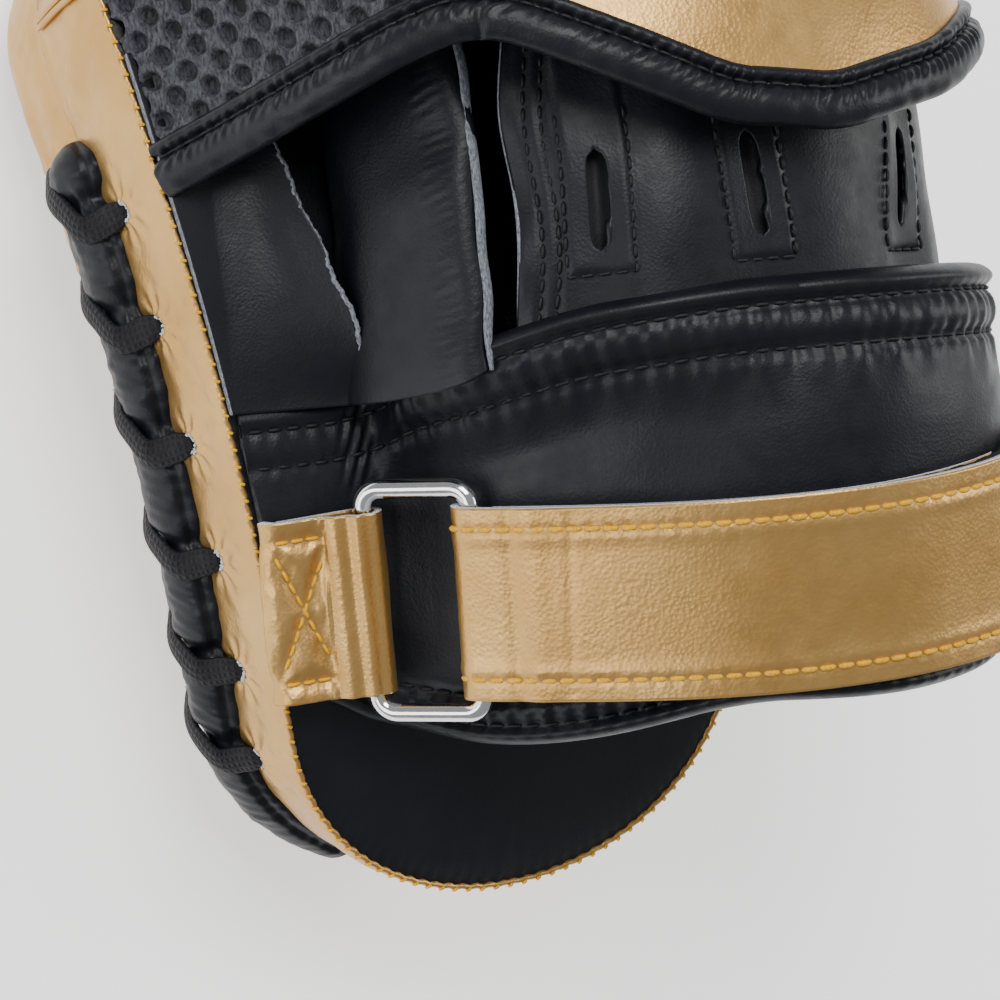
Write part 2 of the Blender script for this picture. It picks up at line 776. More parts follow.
    def build(self) -> None:
        """Builds the pad's dressing and gives the kept CAD solids their finishes."""
        self.strip("rear_wall", self.rear_profile, 52, self.rear_holes, self.rear_hole_h, "rear_gusset")
        self.strip("front_wall", self.front_profile, 44, self.front_holes, self.front_hole_h, "front_gusset")
        self.back()
        self.seams()
        self.tears()
        keep("strike_cover", Finish.BLACK)
        keep("strike_target", Finish.GOLD)
        keep("impact_foam", Finish.FOAM)
        keep("core_foam", Finish.FOAM)
        keep("backing_board", Finish.BOARD)


def thumb_outline(s: Array) -> Array:
    """The pad's thumb-side outline at s, as x."""
    x, ring_s, _ = Pad.RING
    left = np.flatnonzero(x < -20)
    order = left[np.argsort(ring_s[left])]
    return np.interp(s, ring_s[order], x[order])


@dataclass
class Lacing:
    """The padded roll over the wall's joint, and the flat lace wound over it through the holes."""

    top: float = 216.0
    bottom: float = 22.0
    half_width: float = 8.4
    bulge: float = 6.8
    middle_h: float = -29.0
    lace_half: float = 3.1
    pad: Pad = field(default_factory=Pad)

    def squeeze(self, run: Array) -> Array:
        """How much of the roll's fullness is left: less under each wrap, and none past its rounded ends."""
        total = np.ones_like(run)
        for front, rear in zip(self.pad.front_holes, self.pad.rear_holes):
            total -= 0.26 * bell(run - (front + rear) / 2 + 2, 3.6)
        cap_top = np.sqrt(np.clip(1 - ((run - self.top + 9) / 9).clip(0) ** 2, 0, 1))
        cap_low = np.sqrt(np.clip(1 - ((self.bottom + 9 - run) / 9).clip(0) ** 2, 0, 1))
        return total * np.maximum(cap_top * cap_low, 0.02)

    def roll(self) -> None:
        """Makes the roll: a flattened tube along the wall, squeezed at the wraps and pleated at its top."""
        run = np.linspace(self.bottom, self.top, 640)
        run = np.concatenate([run, self.top - 9 + 9 * np.cos(np.linspace(0.3, 0.0, 12))])
        run = np.unique(run)
        angle = np.linspace(0, 2 * np.pi, 56, endpoint=False)
        full = self.squeeze(run)[:, None]
        crease = 0.16 * smooth_noise((len(run), 56), (34, 5), 21)
        crease = crease + 0.12 * smooth_noise((len(run), 56), (90, 9), 22)
        pleat = bell(run[:, None] - 199, 6) * np.cos(11 * angle)[None] * 0.35
        seam = -0.7 * bell(angle[None] - 1.15, 0.12)
        size = full + (crease + pleat) / 6 + seam / 6
        reach = np.where(np.cos(angle) > 0, 1.0, 0.2)[None]
        out = 0.5 + self.bulge * size * np.cos(angle)[None] * reach
        h = self.middle_h + self.half_width * size * np.sin(angle)[None]
        grid = wall_place(np.broadcast_to(run[:, None], h.shape), out, h)
        piece = recalculated(surface("roll_leather", grid, wrap_columns=True))
        dress(piece, [Finish.BLACK], nodes=("lacing_roll",))

    def path(self, front: float, rear: float, count: int = 90) -> Array:
        """The lace's middle from a front hole, over the roll, to its rear hole, as (run, out, h)."""
        knots = np.array([(front, -1.5, -41.0), (front, 1.3, -40.4), (front - 1.5, 3.4, -38.2),
                          (front - 5.5, 5.9, -34.6), ((front + rear) / 2 - 3.0, 6.9, -29.5),
                          (rear - 1.2, 6.0, -24.0), (rear - 0.8, 3.6, -20.2), (rear - 0.2, 2.1, -17.2),
                          (rear, 0.4, -15.3), (rear, -2.0, -14.8)])
        return spline(knots, np.linspace(0, 1, count))

    def laces(self) -> None:
        """Makes each wrap: a flat band carried along its path, that narrows into the holes."""
        for index, (front, rear) in enumerate(zip(self.pad.front_holes, self.pad.rear_holes)):
            line = self.path(front, rear)
            middle = wall_place(line[:, 0], line[:, 1], line[:, 2])
            outer = wall_place(line[:, 0], line[:, 1] + 1, line[:, 2]) - middle
            ends = np.minimum(np.linspace(0, 1, 90), np.linspace(1, 0, 90))
            half = self.lace_half * np.clip(0.5 + ends * 3.2, 0, 1) + 0.12 * np.sin(np.linspace(0, 9 + index, 90))
            tangent = headings(middle)
            side = unit(np.cross(tangent, outer))
            height = np.cross(side, tangent)
            angle = np.linspace(0, 2 * np.pi, 28, endpoint=False)
            wide = np.sign(np.cos(angle)) * np.abs(np.cos(angle)) ** 0.5
            thick = 0.75 * np.sign(np.sin(angle)) * np.abs(np.sin(angle)) ** 0.7
            cup = -0.5 * wide ** 2
            grid = (middle[:, None] + side[:, None] * (half[:, None] * wide)[..., None]
                    + height[:, None] * (thick + cup + 0.55)[None, :, None])
            piece = recalculated(surface(f"lace_wrap_{index + 1}", grid, wrap_columns=True))
            dress(piece, [Finish.LACE], nodes=(f"side_lace_{index + 1}",))

    def build(self) -> None:
        """Builds the roll and the wraps."""
        self.roll()
        self.laces()


# ---------------------------------------------------------------- the cuff

# The cuff's finger-edge lip: places across the mitt, and the height that it adds there.
LIP = ([-40, -34, -28, -12, 0, 12, 26], [0, 7, 13, 12, 9.5, 5, 0])
CUFF_ARCH = [(-36, 5.5), (-24, 23), (-8, 43), (12, 61), (40, 73), (68, 69), (88, 52), (92, 33), (82, 13),
             (58, 0.8)]


@dataclass
class Cuff:
    """The padded cuff round the wrist and the flat wing beside it, in one closed shell."""

    wing: tuple[tuple[float, float], ...] = ((-67, 1.6), (-57, 3.0), (-48, 3.6), (-41.5, 4.2))
    thickness: float = 10.7
    heel_edge: tuple[tuple[float, float], ...] = (
        (-80, -71), (-54, -72), (-32, -84), (-12, -80), (14, -70), (110, -69))
    finger_edge: tuple[tuple[float, float], ...] = (
        (-80, -14), (-40, -13), (-12, 0), (14, 2.4), (110, 2.2))
    first_row: float = 4.6
    second_row: float = 12.2
    heel_rows: tuple[float, float] = (4.2, 9.6)
    pitch: float = 4.2
    along: int = 520
    across: int = 110

    def edge(self, knots: tuple[tuple[float, float], ...], x: Array) -> Array:
        """Where an edge lies at x: the corners of its line, rounded by averaging over 16 mm."""
        line = np.array(knots, float)
        return np.mean([np.interp(x + shift, line[:, 0], line[:, 1]) for shift in np.linspace(-8, 8, 9)], 0)

    def outer(self) -> Array:
        """The outer line across the mitt, as (x, h)."""
        return even(spline(np.array([*self.wing, *CUFF_ARCH]), np.linspace(0, 1, 900)), self.along)

    def section(self, share: Array, width: Array, line: Array) -> Array:
        """Height of the shell's outer face over its line, across its width.

        Each edge is a rolled lip, a groove where it is stitched, a puckered band, and a second groove. The rest
        swells. The puckers are waves one stitch long that fade away from the grooves.

        Args:
            share: 0 at the heel edge and 1 at the finger edge.
            width: the width there.
            line: distance along the cuff.

        Returns:
            The height over the line.
        """
        finger = (1 - share) * width
        heel = share * width
        groove = lambda d, at, w: bell(d - at, w)
        wave = np.cos(2 * np.pi * line / self.pitch)
        wide = np.cos(2 * np.pi * line / (self.pitch * 2.3) + 1.3)
        rise = 1.1 * groove(finger, 2.1, 1.7) + 1.0 * groove(finger, 8.6, 2.6) + 0.9 * groove(heel, 2.0, 1.7)
        rise += 0.55 * groove(heel, 6.9, 1.8)
        cut = 1.15 * groove(finger, self.first_row, 1.0) + 1.0 * groove(finger, self.second_row, 1.1)
        cut += 1.0 * groove(heel, self.heel_rows[0], 1.0) + 0.9 * groove(heel, self.heel_rows[1], 1.0)
        body = 0.5 + 1.3 * np.clip((finger - 12) / 14, 0, 1) ** 0.7 * np.clip((heel - 9.5) / 12, 0, 1) ** 0.7
        pucker = 0.28 * wave * (groove(finger, 6.4, 2.2) + groove(finger, 12.6, 2.2) + groove(heel, 5.5, 3.0))
        pucker += 0.22 * wide * (groove(finger, 8.4, 3.2) + groove(finger, 15, 3.5) + groove(heel, 8, 3.5))
        return rise - cut + body - 0.5 + pucker

    def lip(self, x: Array, far: Array, ahead: Array) -> Array:
        """How far the finger edge's lip stands up on the thumb side, so that it covers the glove's ends.

        Args:
            x: place across the mitt.
            far: distance along the cuff as a share of its length.
            ahead: distance back from the finger edge.

        Returns:
            The height over the line.
        """
        tall = np.where(far < 0.55, np.interp(x, *LIP), 0)
        return tall * (1 - ease(np.clip(ahead / 24, 0, 1)))

    def grid(self) -> Array:
        """The closed shell: rows along the arch, columns round the section."""
        line = self.outer()
        normal = outward_of(line)
        far = run_of(line)[:, None]
        x = line[:, :1]
        full = np.where(far > far[-1] * 0.5, 1, ease(np.clip((x + 41) / 16, 0, 1)))
        deep = 2.4 + (self.thickness - 2.4) * full
        low, high = self.edge(self.heel_edge, x), self.edge(self.finger_edge, x)
        width = high - low
        outside = self.across // 2 + 14
        share = np.linspace(0, 1, outside)[None]
        share = 0.5 - 0.5 * np.cos(np.pi * (0.06 + 0.88 * share))
        share = (share - share.min()) / (share.max() - share.min())
        rise = self.section(share, width, far)
        flat = 0.35 + 0.65 * full
        round_off = 1 - np.sqrt(np.clip(1 - np.clip(1 - share * width / 3.2, 0, 1) ** 2, 0, 1))
        round_off = round_off + 1 - np.sqrt(np.clip(1 - np.clip(1 - (1 - share) * width / 3.2, 0, 1) ** 2, 0, 1))
        lift = rise * flat - round_off * np.minimum(deep * 0.5, 3.2)
        gather = bell(x + 41, 3.4)
        fan = np.cos(2 * np.pi * (x + 0.35 * (high - (low + share * width))) / 2.9)
        lift = lift + 0.55 * gather * fan * bell((1 - share) * width - 11, 7)
        lift = lift - 1.7 * bell(x + 37.8, 1.5) * bell((1 - share) * width - 8, 10)
        lift = lift + 0.35 * smooth_noise(lift.shape, (9, 3), 31) * np.clip((1 - share) * width / 14 - 0.6, 0, 1)
        s_out = low + share * width
        inside = self.across - outside
        back = np.linspace(1, 0, inside + 2)[None, 1:-1]
        depth = deep * 0.98 - 0.25 * smooth_noise((self.along, inside), (9, 2), 33) * full
        ends = 1 - np.sqrt(np.clip(1 - np.clip(1 - back * width / 4, 0, 1) ** 2, 0, 1))
        ends = ends + 1 - np.sqrt(np.clip(1 - np.clip(1 - (1 - back) * width / 4, 0, 1) ** 2, 0, 1))
        depth = depth - ends * np.minimum(deep * 0.5, 4)
        s_in = low + back * width
        off = np.concatenate([lift, -depth], 1)
        s = np.concatenate([s_out, s_in], 1)
        points = line[:, None] + normal[:, None] * off[..., None]
        points = points + normal[:, None] * self.lip(x, far / far[-1], high - s)[..., None]
        floor = np.maximum(points[..., 1], 0.9)
        return BEND.place(np.maximum(points[..., 0], thumb_outline(s) + 1.4), s, floor)

    def build(self) -> None:
        """Builds the shell and its stitching."""
        grid = self.grid()
        piece = recalculated(surface("cuff_leather", capped(grid), wrap_columns=True))
        dress(piece, [Finish.BLACK],
              nodes=("cuff_cover", "cuff_foam", "cuff_lining", "cuff_heel_binding", "cuff_finger_binding",
                     "cuff_wing"))
        line = self.outer()
        x = line[:, 0]
        normal = outward_of(line)
        low, high = self.edge(self.heel_edge, x), self.edge(self.finger_edge, x)
        far = run_of(line)
        full = np.where(far > far[-1] * 0.5, 1, np.clip((x + 41) / 16, 0, 1))
        rows = []
        for from_finger, from_heel in ((self.first_row, None), (self.second_row, None),
                                       (None, self.heel_rows[0]), (None, self.heel_rows[1])):
            s = high - from_finger if from_finger else low + from_heel
            share = (s - low) / (high - low)
            rise = self.section(share[:, None], (high - low)[:, None], far[:, None])[:, 0]
            lift = rise * (0.35 + 0.65 * ease(full)) + 0.12 + self.lip(x, far / far[-1], high - s)
            off = line + normal * lift[:, None]
            up = line + normal * (lift + 1)[:, None]
            points = BEND.place(off[:, 0], s, np.maximum(off[:, 1], 0.9))
            inside = x > thumb_outline(s) + 2.5
            inside[-20:] = False
            rows.append((points[inside], (BEND.place(up[:, 0], s, up[:, 1]) - points)[inside]))
        dress(stitches("cuff_stitching", rows, self.pitch, 0.42, rise=0.5), [Finish.BLACK_THREAD])


def cuff_front(x: Array) -> Array:
    """Where the cuff's finger edge lies at x, a little under its lip: what the glove is tucked into."""
    cuff = Cuff()
    return cuff.edge(cuff.finger_edge, x) - 1.6


# ---------------------------------------------------------------- strap, ring and tab

STRAP_ARCH = [(-41, 0), *CUFF_ARCH[:-1], (58, 0)]


@dataclass
class Closure:
    """The wrist strap, the wire ring it folds back through, and the folded tab that holds the ring."""

    mid_s: float = -50.7
    slant: float = 0.075
    width: float = 40.0
    thickness: float = 1.7
    bar: tuple[float, float] = (-27.88, 27.24)
    tab_bar: tuple[float, float] = (-42.8, 9.4)
    wire: float = 2.0
    ring_length: float = 47.0
    corner: float = 4.0
    bend: float = 3.25
    bar_place: float = 0.126
    tail_end: float = 0.72
    lead_end: float = 0.86
    stitch_in: float = 4.4
    pitch: float = 3.7

    def place(self, x: Array, h: Array, along: Array) -> Array:
        """Points on the strap's own flat plane: x across the mitt, h up from the back, along the bar."""
        angle = self.mid_s / BEND.back_radius
        origin = BEND.place(0.0, self.mid_s, 0.0)
        across = np.array([1, self.slant * math.cos(angle), -self.slant * math.sin(angle)])
        bar = np.array([-self.slant, math.cos(angle), -math.sin(angle)])
        across, bar = unit(across), unit(bar)
        up = np.array([0, math.sin(angle), math.cos(angle)])
        x, h, along = np.broadcast_arrays(x, h, along)
        return origin + x[..., None] * across + h[..., None] * up + along[..., None] * bar

    def band(self, line: Array, half: float, relief: Array, columns: int) -> tuple[Array, Array]:
        """A flat band carried along a line, and its outward normals.

        Args:
            line: its middle, as (x, h).
            half: half its width.
            relief: distance outwards, rows along and columns across.
            columns: number of points across.

        Returns:
            The grid of points and the normals along its middle, as (x, h).
        """
        normal = outward_of(line)
        flat = line[:, None] + normal[:, None] * relief[..., None]
        along = np.linspace(-half, half, columns)[None]
        return self.place(flat[..., 0], flat[..., 1], np.broadcast_to(along, relief.shape)), normal

    def tail(self) -> None:
        """Makes the strap's tail: half a turn round the bar, then over the cuff; and its two rows of stitches."""
        arch = even(spline(np.array(STRAP_ARCH), np.linspace(0, 1, 900)), 1000)
        outward = outward_of(arch)
        over = arch + (5.6 + self.bend) * outward
        first, last = int(self.bar_place * 1000), int(self.tail_end * 1000)
        start = over[first]
        out = unit(start - np.array(self.bar))
        turn = np.linspace(np.pi * 0.82, 0.08, 26)[:, None]
        side = np.array([-out[1], out[0]])
        bend = np.array(self.bar) + self.bend * (np.cos(turn) * out + np.sin(turn) * side)
        line = even(np.concatenate([bend, over[first + 4:last]]), 300)
        run = run_of(line)[:, None]
        columns = 64
        across = np.linspace(-self.width / 2, self.width / 2, columns)[None]
        near = np.abs(np.abs(across) - (self.width / 2 - self.stitch_in))
        relief = -0.3 * bell(near, 0.9) + 0.25 * bell(np.abs(across) - 14.2, 1.8)
        relief = relief + 0.22 * smooth_noise((300, columns), (5, 1), 41)
        relief = relief - 0.35 * bell(run - 18, 1.6) + 0.3 * bell(run - 23, 2.6)
        relief = relief + 0.07 * np.cos(2 * np.pi * run / self.pitch) * bell(near, 1.8)
        relief = relief - 0.18 * bell(run - 30 - 0.05 * across, 1.2) * (np.abs(across) < 19)
        relief = np.broadcast_to(relief, (300, columns)).copy()
        grid, normal = self.band(line, self.width / 2, relief, columns)
        piece = surface("strap_tail_band", grid)
        wall = thicken(piece, self.thickness, 0)
        dress(wall, [Finish.GOLD, Finish.RAW_WHITE], "strap", ("strap_tail",))
        rows = []
        for sign in (-1, 1):
            off = line + normal * (self.thickness / 2 - 0.1)
            up = line + normal * (self.thickness / 2 + 0.9)
            at = np.full(len(line), sign * (self.width / 2 - self.stitch_in))
            points = self.place(off[:, 0], off[:, 1], at)
            rows.append((points[8:], (self.place(up[:, 0], up[:, 1], at) - points)[8:]))
        dress(stitches("strap_stitching", rows, self.pitch, 0.6, gap=0.12, rise=0.45), [Finish.GOLD_THREAD],
              "strap")
        self.tapes(arch, outward)
        self.lead(arch, outward)

    def tapes(self, arch: Array, outward: Array) -> None:
        """Makes the fuzzy tapes under the tail and on the lead: bands with a thick rough pile."""
        begin = int(self.bar_place * 1000) + 70
        rng = np.random.default_rng(12)
        for name, low, high, end, body, node in (("loop_pile", 1.9, 4.0, 750, "mitt", "loop_tape"),
                                                 ("hook_pile", 4.4, 7.8, 708, "strap", "hook_tape")):
            line = even((arch + outward * (low + high) / 2)[begin:end], 220)
            relief = rng.uniform(-0.16, 0.16, (220, 60))
            grid, _ = self.band(line, self.width / 2 - 1.6, relief, 60)
            dress(thicken(surface(name, grid), high - low - 0.1, 0, rim=False), [Finish.FUZZ],
                  body, (node,))

    def lead(self, arch: Array, outward: Array) -> None:
        """Makes the strap's lead: sewn to the cuff, it rises to the bar and turns half-way round it."""
        first, last = int(self.bar_place * 1000) + 12, int(self.lead_end * 1000)
        lift = 0.95 + 0.35 * np.exp(-(np.arange(1000) - first) / 12.0)[:, None]
        line = even((arch + outward * lift)[first:last], 260)
        relief = 0.1 * smooth_noise((260, 40), (4, 1), 43)
        grid, _ = self.band(line, self.width / 2 - 1.4, relief, 40)
        piece = surface("strap_lead_band", grid)
        dress(thicken(piece, 1.5, 0), [Finish.GOLD, Finish.RAW_WHITE], nodes=("strap_lead",))

    def ring(self) -> None:
        """Makes the ring: round wire along a rectangle with rounded corners, and its butt joint."""
        bar, tab = np.array(self.bar), np.array(self.tab_bar)
        gap, long, r = np.linalg.norm(bar - tab) / 2, self.ring_length / 2, self.corner
        turn = np.linspace(0, np.pi / 2, 14)
        corners = []
        for cx, cy, base in ((gap - r, long - r, 0), (r - gap, long - r, np.pi / 2), (r - gap, r - long, np.pi),
                             (gap - r, r - long, 1.5 * np.pi)):
            corners.append(np.stack([cx + r * np.cos(base + turn), cy + r * np.sin(base + turn)], -1))
        loop = np.concatenate([*corners, corners[0][:1]])
        line = even(loop, 241)[:-1]
        lie, middle = (bar - tab) / (2 * gap), (bar + tab) / 2
        flat = middle + line[:, :1] * lie
        path = self.place(flat[:, 0], flat[:, 1], line[:, 1])
        tangent = unit(np.roll(path, -1, 0) - np.roll(path, 1, 0))
        one, none = np.ones(1), np.zeros(1)
        flat_up = self.place(-lie[1] * one, lie[0] * one, none)[0] - self.place(none, none, none)[0]
        side = np.cross(tangent, flat_up)
        angle = np.linspace(0, 2 * np.pi, 24, endpoint=False)
        grid = path[:, None] + self.wire * (np.cos(angle)[None, :, None] * side[:, None]
                                            + np.sin(angle)[None, :, None] * flat_up)
        piece = recalculated(surface("strap_ring_wire", grid, wrap_rows=True, wrap_columns=True))
        dress(piece, [Finish.WIRE], "ring", ("strap_ring",))

    def tab(self) -> None:
        """Makes the tab: flat and box-stitched by the seam, then folded round the ring's bar."""
        knots = np.array([(-63.5, 2.4), (-62.4, 4.6), (-60, 5.9), (-54, 7.0), (-52.2, 7.6), (-51.0, 9.3),
                          (-47.5, 12.0), (-44, 13.6), (-41, 13.2), (-39, 11.2), (-38.9, 8.0), (-40.6, 5.9),
                          (-44.5, 4.9), (-50, 4.4), (-60, 3.6)])
        line = even(spline(knots, np.linspace(0, 1, 600)), 130)
        columns, half = 90, 19.0
        along = np.linspace(-half, half, columns)[None]
        x = line[:, :1]
        top = (np.arange(130) < 80)[:, None]
        flat = top & (x < -51.5)
        first = np.abs((x + 56.5) * 2.3 - along) / 2.5
        second = np.abs((x + 56.5) * 2.3 + along) / 2.5
        rows = np.abs(np.abs(along) - 14.8) + 0 * x
        near = np.minimum(np.minimum(first, second), rows)
        relief = np.where(flat, 1.15 * (1 - bell(near, 2.1)) - 0.35, 0.0)
        relief = relief + np.where(flat, 0.1 * smooth_noise((130, columns), (20, 9), 51), 0)
        fold = top & (x > -51.5)
        relief = relief + np.where(fold, 0.5 * np.sin((x + 51) * 1.5 + 0.03 * along) * np.exp(
            -((x + 46.5) / 4) ** 2) + 0.15 * smooth_noise((130, columns), (6, 2), 52), 0)
        relief = np.broadcast_to(relief, (130, columns)).copy()
        grid, normal = self.band(line, half, relief, columns)
        piece = surface("ring_tab_fold", grid)
        dress(thicken(piece, 1.4, -1), [Finish.GOLD, Finish.RAW_WHITE], nodes=("ring_tab",))
        rows = []
        sewn = (np.arange(130) < 80) & (line[:, 0] < -52.0) & (line[:, 0] > -62)
        cut, out = line[sewn], normal[sewn]
        for along_of in (lambda v: 14.8 + 0 * v, lambda v: -14.8 + 0 * v,
                         lambda v: (v + 56.5) * 2.3, lambda v: -(v + 56.5) * 2.3):
            at = np.clip(along_of(cut[:, 0]), -14.8, 14.8)
            low = self.place(cut[:, 0] - out[:, 0] * 0.3, cut[:, 1] - out[:, 1] * 0.3, at)
            high = self.place(cut[:, 0] + out[:, 0] * 0.7, cut[:, 1] + out[:, 1] * 0.7, at)
            rows.append((low, high - low))
        dress(stitches("tab_stitching", rows, 2.9, 0.42, gap=0.14, rise=0.4), [Finish.GOLD_THREAD])

    def build(self) -> None:
        """Builds the ring, the tab and the strap."""
        self.ring()
        self.tab()
        self.tail()


# ---------------------------------------------------------------- the glove back

GLOVE_ARCH = [(-42, 0), (-34, 22), (-23, 42), (-6, 57), (12, 64), (34, 67), (60, 62), (80, 46), (86, 24),
              (66, 0)]


@dataclass
class GloveBack:
    """The leather over the fingers: fluted between them, with three slots in stitched facings."""

    end_s: float = 64.0
    slots: tuple = (((-10.5, 9.5), (-9.5, 26.5)), ((21.5, 9.5), (20.5, 27.0)), ((61.0, 9.5), (64.5, 27.0)))
    slot_width: float = 4.3
    facing_half: float = 7.6
    facing_low: float = 4.8
    rows: int = 118
    columns: int = 270

    def line(self) -> tuple[Array, Array, Array]:
        """The arch as (x, h), its outward normals and the distance along it."""
        line = even(spline(np.array(GLOVE_ARCH), np.linspace(0, 1, 900)), 1200)
        return line, outward_of(line), run_of(line)

    def at(self, reach: Array, s: Array, lift: Array) -> Array:
        """Points on the glove back, by distance along its arch, s, and height over it."""
        line, normal, far = self.line()
        x = np.interp(reach, far, line[:, 0]) + lift * np.interp(reach, far, normal[:, 0])
        h = np.interp(reach, far, line[:, 1]) + lift * np.interp(reach, far, normal[:, 1])
        return BEND.place(x, s, np.maximum(h, 0.6))

    def reach_of(self, x: Array) -> Array:
        """Distance along the arch where its top side is at x."""
        line, _, far = self.line()
        top = slice(0, int(np.argmax(line[:, 0])))
        return np.interp(x, line[top, 0], far[top])

    def edge_reach(self, s: Array) -> Array:
        """Where the raw edge beside the thumb lies along the arch, at s."""
        return self.reach_of(np.interp(s, [-12, 60], [-24.0, -20.5]) + 0.7 * np.sin(np.asarray(s) / 7.0))

    def relief(self, reach: Array, s: Array) -> Array:
        """Height of the leather over its arch: valleys between the fingers, raised facings, and seam grooves."""
        total = 0.35 * smooth_noise(reach.shape, (3, 7), 61)
        for (x0, s0), (x1, s1) in self.slots:
            middle = self.reach_of(np.interp(s, [s0, s1], [x0, x1]))
            away = np.abs(reach - middle)
            total = total - 1.9 * bell(away, 9.5)
            box = np.maximum(away - self.facing_half, self.facing_low - s)
            total = total + 0.75 * sigmoid(-box * 2.2)
            total = total - 0.45 * bell(box + 0.5, 0.8)
        edge = reach - self.edge_reach(s)
        total = total - 0.4 * bell(edge - 4.6, 0.8) - 0.4 * bell(edge - 8.0, 0.8)
        total = total + 0.8 * bell(edge, 2.5) * np.sin(s / 5.0)
        _, _, far = self.line()
        for back in (44.0, 49.0):
            total = total - 0.4 * bell(far[-1] - reach - back, 0.8)
        return total

    def build(self) -> None:
        """Builds the leather with its slots cut and opened, the facings behind them, and the stitching."""
        line, _, far = self.line()
        share = np.linspace(0, 1, self.columns)[None]
        corner = self.edge_reach(np.array(-8.0))
        first = corner + (far[-1] - corner) * share[0]
        begin = cuff_front(np.interp(first, far, line[:, 0]))
        s = begin + (self.end_s - begin) * np.linspace(0, 1, self.rows)[:, None]
        edge = self.edge_reach(s[:, :1])
        reach = edge + (far[-1] - edge) * share
        cuts = []
        for (x0, s0), (x1, s1) in self.slots:
            middle = self.reach_of(np.interp(s[:, 100], [s0, s1], [x0, x1]))[:, None]
            column = int(np.argmin(np.abs(reach[self.rows // 3] - middle[self.rows // 3])))
            pull = bell(reach - reach[:, column:column + 1], 7)
            reach = reach + (middle - reach[:, column:column + 1]) * pull
            t = np.clip((s[:, column:column + 1] - s0) / (s1 - s0), 0, 1)
            opening = self.slot_width / 2 * np.clip(1 - np.abs(2 * t - 1) ** 6, 0, 1) ** 0.5
            away = reach - middle
            side = np.where(np.arange(self.columns)[None] < column, -1.0, 1.0)
            spread = opening * np.exp(-np.abs(away) / 3.5)
            left = reach + side * spread
            left[:, column] = (middle - opening)[:, 0]
            right = reach[:, column:column + 1] + opening
            cuts.append((column, t[:, 0] * (1 - t[:, 0]) > 0, right[:, 0]))
            reach = left
        grid = self.at(reach, s, self.relief(reach, s))
        points = grid.reshape(-1, 3)
        faces = grid_faces(self.rows, self.columns)
        extra = []
        for column, open_rows, right in cuts:
            rows = np.flatnonzero(open_rows)
            new = len(points) + sum(len(e) for e in extra) + np.arange(len(rows))
            lift = self.relief(right[rows][:, None], s[rows, column][:, None])[:, 0]
            extra.append(self.at(right[rows], s[rows, column], lift))
            renumber = np.arange(len(points) + 10000)
            renumber[rows * self.columns + column] = new
            on_right = np.tile(np.arange(self.columns - 1), self.rows - 1) == column
            faces[on_right] = renumber[faces[on_right]]
        faces = faces[:, ::-1]
        every = np.concatenate([points, *extra])
        piece = mesh_object("glove_back_leather", every, faces)
        dress(thicken(piece, 1.5, -1, rim=False), [Finish.BLACK], nodes=("glove_back",))
        self.facings()
        self.stitching(far)

    def facings(self) -> None:
        """Makes a lining patch behind each slot: a small grid that follows the leather underneath."""
        for index, ((x0, s0), (x1, s1)) in enumerate(self.slots):
            s, side = np.meshgrid(np.linspace(s0 - 4, s1 + 5, 40), np.linspace(-6.4, 6.4, 26), indexing="ij")
            reach = self.reach_of(np.interp(s, [s0, s1], [x0, x1])) + side
            dip = 2.6 + 1.8 * bell(side, 2.6)
            piece = surface(f"slot_patch_{index + 1}", self.at(reach, s, -dip - 1.2), flip=True)
            dress(thicken(piece, 0.8, -1, rim=False), [Finish.LINING],
                  nodes=(f"slot_facing_{index + 1}",))

    def row(self, reach: Array, s: Array) -> tuple[Array, Array]:
        """A stitched line on the leather and its outward normals."""
        lift = self.relief(reach[:, None], s[:, None])[:, 0]
        low = self.at(reach, s, lift + 0.1)
        return low, self.at(reach, s, lift + 1.1) - low

    def stitching(self, far: Array) -> None:
        """Makes the U of stitches round each slot and the double rows down both sides."""
        rows = []
        for (x0, s0), (x1, s1) in self.slots:
            half = self.facing_half - 0.6
            side = np.concatenate([np.full(60, -half), np.linspace(-half, half, 40)[1:-1], np.full(60, half)])
            s = np.concatenate([np.linspace(34, self.facing_low + 0.6, 60), np.full(38, self.facing_low + 0.6),
                                np.linspace(self.facing_low + 0.6, 34, 60)])
            rows.append(self.row(self.reach_of(np.interp(s, [s0, s1], [x0, x1])) + side, s))
        s = np.linspace(-3, 60, 160)
        for away in (4.6, 8.0):
            rows.append(self.row(self.edge_reach(s) + away, s))
        for back in (44.0, 49.0):
            rows.append(self.row(np.full(160, far[-1] - back), s))
        dress(stitches("glove_stitching", rows, 3.4, 0.4, gap=0.2, rise=0.45), [Finish.BLACK_THREAD])


# ---------------------------------------------------------------- the thumb compartment and the palm pad

